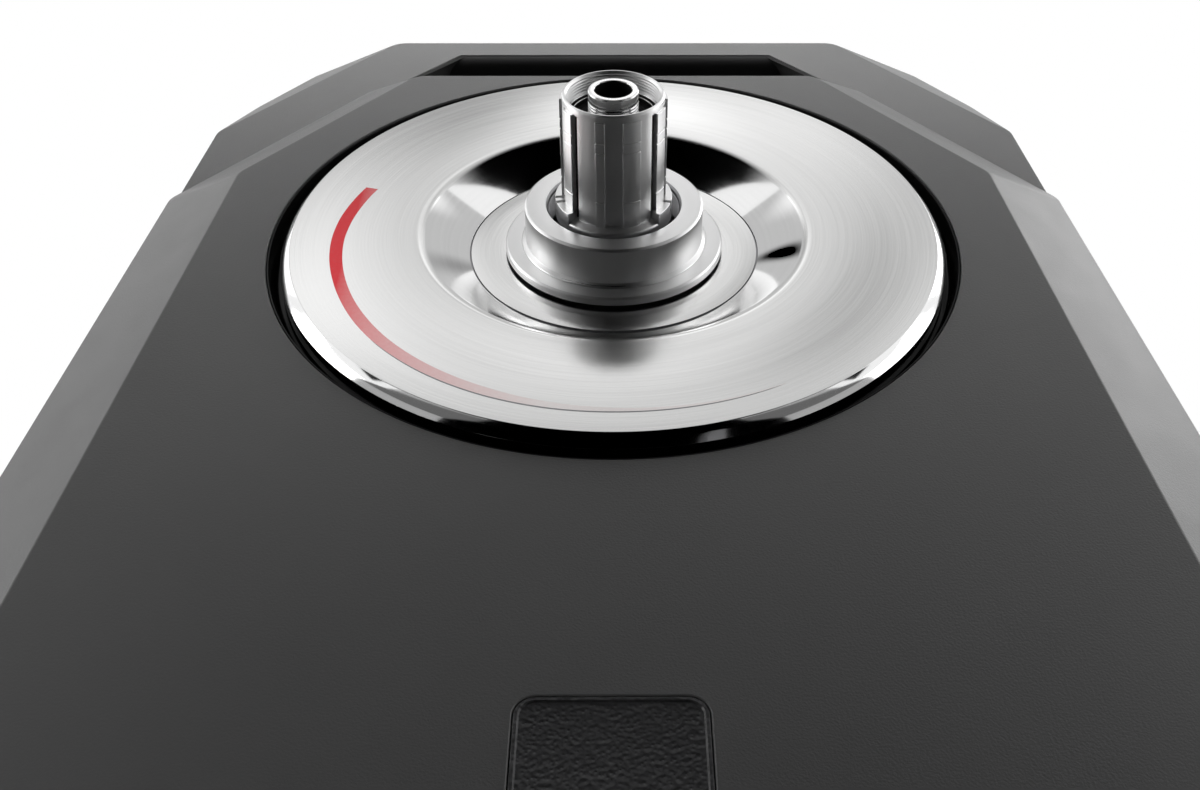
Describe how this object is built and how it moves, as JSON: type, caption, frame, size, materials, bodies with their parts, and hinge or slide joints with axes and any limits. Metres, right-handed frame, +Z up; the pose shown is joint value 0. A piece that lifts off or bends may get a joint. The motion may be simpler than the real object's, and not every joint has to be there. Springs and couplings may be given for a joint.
{
  "type": "direct drive bike trainer",
  "caption": "Wheel-off bike trainer: motor disc in a bevelled grey body with a carry handle, splined cassette body, hollow axle, folding legs and levelling feet.",
  "frame": {"origin": "on the floor under the axle, in the bike centre plane", "axes": "+X the way the bike rides, +Z up; the drive side, with the cassette body, is -Y"},
  "size_m": [0.4095, 0.6496, 0.524],
  "materials": {
    "body_grey": "matt dark grey moulded plastic with a fine grain",
    "grip_black": "black moulded grip and lining",
    "gloss_black": "gloss black",
    "badge_black": "black with a coarse grain, bare of any mark",
    "board_green": "circuit board with a sink and capacitors",
    "disc_metal": "brushed in circles, bright",
    "bell_steel": "turned steel, oiled",
    "magnet_grey": "nickel-plated magnets, set as one ring",
    "hub_satin": "satin turned alloy with bright edges",
    "core_steel": "stacked laminations",
    "copper": "enamelled copper wire",
    "carrier_alloy": "as cast",
    "hard_steel": "hardened steel, dark",
    "freehub_steel": "satin steel",
    "base_black": "black powder coat",
    "leg_grey": "cast alloy with matt dark grey paint",
    "stripe_red": "thin red line printed on the disc",
    "rubber_black": "black rubber"
  },
  "bodies": {
    "trainer": {"main_frame": "body_grey", "drive_side_cover": "body_grey", "non_drive_cover": "body_grey", "handle_grip": "grip_black", "recess_ring": "gloss_black", "badge_plate": "badge_black", "power_inlet": "gloss_black", "controller_board": "board_green", "stator_core": "core_steel", "stator_winding": "copper", "stator_mount": "carrier_alloy", "axle_carrier": "carrier_alloy", "axle": "hub_satin", "axle_end_cap_drive": "hub_satin", "axle_end_cap_rear": "hub_satin", "hub_bearing_drive": "hard_steel", "hub_bearing_rear": "hard_steel", "freehub_bearing_inner": "hard_steel", "freehub_bearing_outer": "hard_steel", "base_beam": "base_black", "rear_crossbar": "leg_grey", "cover_screw_1": "hard_steel", "cover_screw_2": "hard_steel", "cover_screw_3": "hard_steel", "cover_screw_4": "hard_steel", "cover_screw_5": "hard_steel", "cover_screw_6": "hard_steel", "crossbar_cap_right": "rubber_black", "leg_bracket_right": "base_black", "hinge_bolt_right": "hard_steel", "crossbar_cap_left": "rubber_black", "leg_bracket_left": "base_black", "hinge_bolt_left": "hard_steel"},
    "rotor": {"rotor_disc": "disc_metal", "rotor_bell": "bell_steel", "magnet_ring": "magnet_grey", "rotor_hub": "hub_satin", "ratchet_ring": "hard_steel"},
    "freehub": {"freehub_body": "freehub_steel", "freehub_seal": "rubber_black", "pawl_1": "hard_steel", "pawl_2": "hard_steel", "pawl_3": "hard_steel"},
    "leg_right": {"leg_right": "leg_grey"},
    "knob_right": {"clamp_knob_right": "grip_black"},
    "pad_rear_right": {"foot_pad_rear_right": "rubber_black"},
    "stud_rear_right": {"foot_stud_rear_right": "hard_steel"},
    "pad_leg_right": {"foot_pad_leg_right": "rubber_black"},
    "stud_leg_right": {"foot_stud_leg_right": "hard_steel"},
    "leg_left": {"leg_left": "leg_grey"},
    "knob_left": {"clamp_knob_left": "grip_black"},
    "pad_rear_left": {"foot_pad_rear_left": "rubber_black"},
    "stud_rear_left": {"foot_stud_rear_left": "hard_steel"},
    "pad_leg_left": {"foot_pad_leg_left": "rubber_black"},
    "stud_leg_left": {"foot_stud_leg_left": "hard_steel"}
  },
  "joints": [
    {"name": "rotor_spin", "type": "hinge", "parent": "trainer", "child": "rotor", "pos_m": [0, 0, 0.335], "axis": [0, 1, 0], "continuous": true},
    {"name": "freehub_spin", "type": "hinge", "parent": "trainer", "child": "freehub", "pos_m": [0, 0, 0.335], "axis": [0, 1, 0], "continuous": true},
    {"name": "leg_fold_right", "type": "hinge", "parent": "trainer", "child": "leg_right", "pos_m": [0.124, -0.078, 0.04], "axis": [0, 0, 1], "range_deg": [-105, 0]},
    {"name": "knob_turn_right", "type": "hinge", "parent": "trainer", "child": "knob_right", "pos_m": [0.124, -0.078, 0.04], "axis": [0, 0, 1], "range_deg": [0, 120]},
    {"name": "foot_lift_rear_right", "type": "slide", "parent": "trainer", "child": "pad_rear_right", "axis": [0, 0, -1], "range_m": [0, 0.0087]},
    {"name": "foot_screw_rear_right", "type": "hinge", "parent": "pad_rear_right", "child": "stud_rear_right", "pos_m": [-0.18282, -0.11, 0.012], "axis": [0, 0, -1], "range_deg": [0, 2520]},
    {"name": "foot_lift_leg_right", "type": "slide", "parent": "leg_right", "child": "pad_leg_right", "axis": [0, 0, -1], "range_m": [0, 0.0087]},
    {"name": "foot_screw_leg_right", "type": "hinge", "parent": "pad_leg_right", "child": "stud_leg_right", "pos_m": [0.18482, -0.30499, 0.012], "axis": [0, 0, -1], "range_deg": [0, 2520]},
    {"name": "leg_fold_left", "type": "hinge", "parent": "trainer", "child": "leg_left", "pos_m": [0.124, 0.078, 0.04], "axis": [0, 0, 1], "range_deg": [0, 105]},
    {"name": "knob_turn_left", "type": "hinge", "parent": "trainer", "child": "knob_left", "pos_m": [0.124, 0.078, 0.04], "axis": [0, 0, 1], "range_deg": [0, 120]},
    {"name": "foot_lift_rear_left", "type": "slide", "parent": "trainer", "child": "pad_rear_left", "axis": [0, 0, -1], "range_m": [0, 0.0087]},
    {"name": "foot_screw_rear_left", "type": "hinge", "parent": "pad_rear_left", "child": "stud_rear_left", "pos_m": [-0.18282, 0.11, 0.012], "axis": [0, 0, -1], "range_deg": [0, 2520]},
    {"name": "foot_lift_leg_left", "type": "slide", "parent": "leg_left", "child": "pad_leg_left", "axis": [0, 0, -1], "range_m": [0, 0.0087]},
    {"name": "foot_screw_leg_left", "type": "hinge", "parent": "pad_leg_left", "child": "stud_leg_left", "pos_m": [0.18482, 0.30499, 0.012], "axis": [0, 0, -1], "range_deg": [0, 2520]}
  ],
  "couplings": [
    {"joint": "foot_screw_rear_right", "follows": "foot_lift_rear_right", "rad_per_m": 5026.5},
    {"joint": "foot_screw_leg_right", "follows": "foot_lift_leg_right", "rad_per_m": 5026.5},
    {"joint": "foot_screw_rear_left", "follows": "foot_lift_rear_left", "rad_per_m": 5026.5},
    {"joint": "foot_screw_leg_left", "follows": "foot_lift_leg_left", "rad_per_m": 5026.5}
  ]
}
